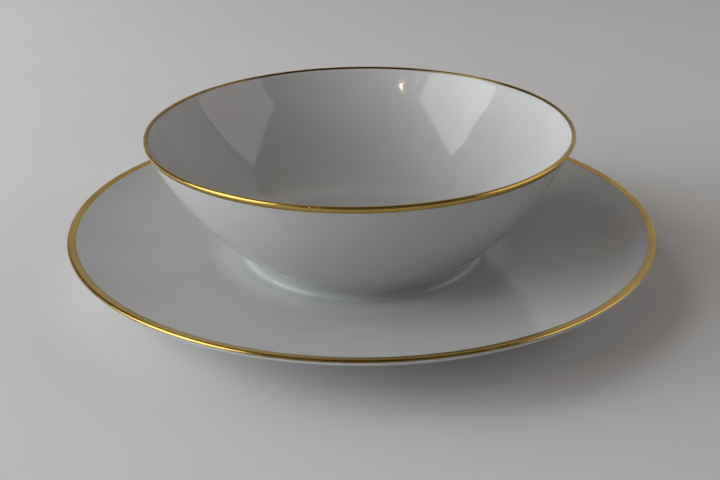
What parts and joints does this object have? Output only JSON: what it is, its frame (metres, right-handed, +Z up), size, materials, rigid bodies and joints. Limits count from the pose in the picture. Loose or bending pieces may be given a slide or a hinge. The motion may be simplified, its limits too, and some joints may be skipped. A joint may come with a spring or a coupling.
{
  "type": "serving bowl with attached underplate",
  "caption": "Round coupe serving bowl fired in one with its own shallow underplate, white glazed porcelain with gold lines on the rims, for sauce or side dishes.",
  "frame": {"origin": "on the axis of the bowl and underplate, at the level of the foot ring's standing face", "axes": "+Z up along the axis of the bowl; the piece is round, so +X and +Y are free; +Y points away from the viewer"},
  "size_m": [0.212, 0.212, 0.0548],
  "materials": {
    "porcelain": "clear gloss glaze over white porcelain, unglazed on the standing face of the foot ring",
    "gold": "burnished bright gold line, fired on the glaze, slightly worn"
  },
  "bodies": {
    "root": {"bowl_body": "porcelain", "underplate_body": "porcelain", "luting_slip": "porcelain", "bowl_rim_gold_band": "gold", "underplate_rim_gold_band": "gold"}
  },
  "joints": []
}
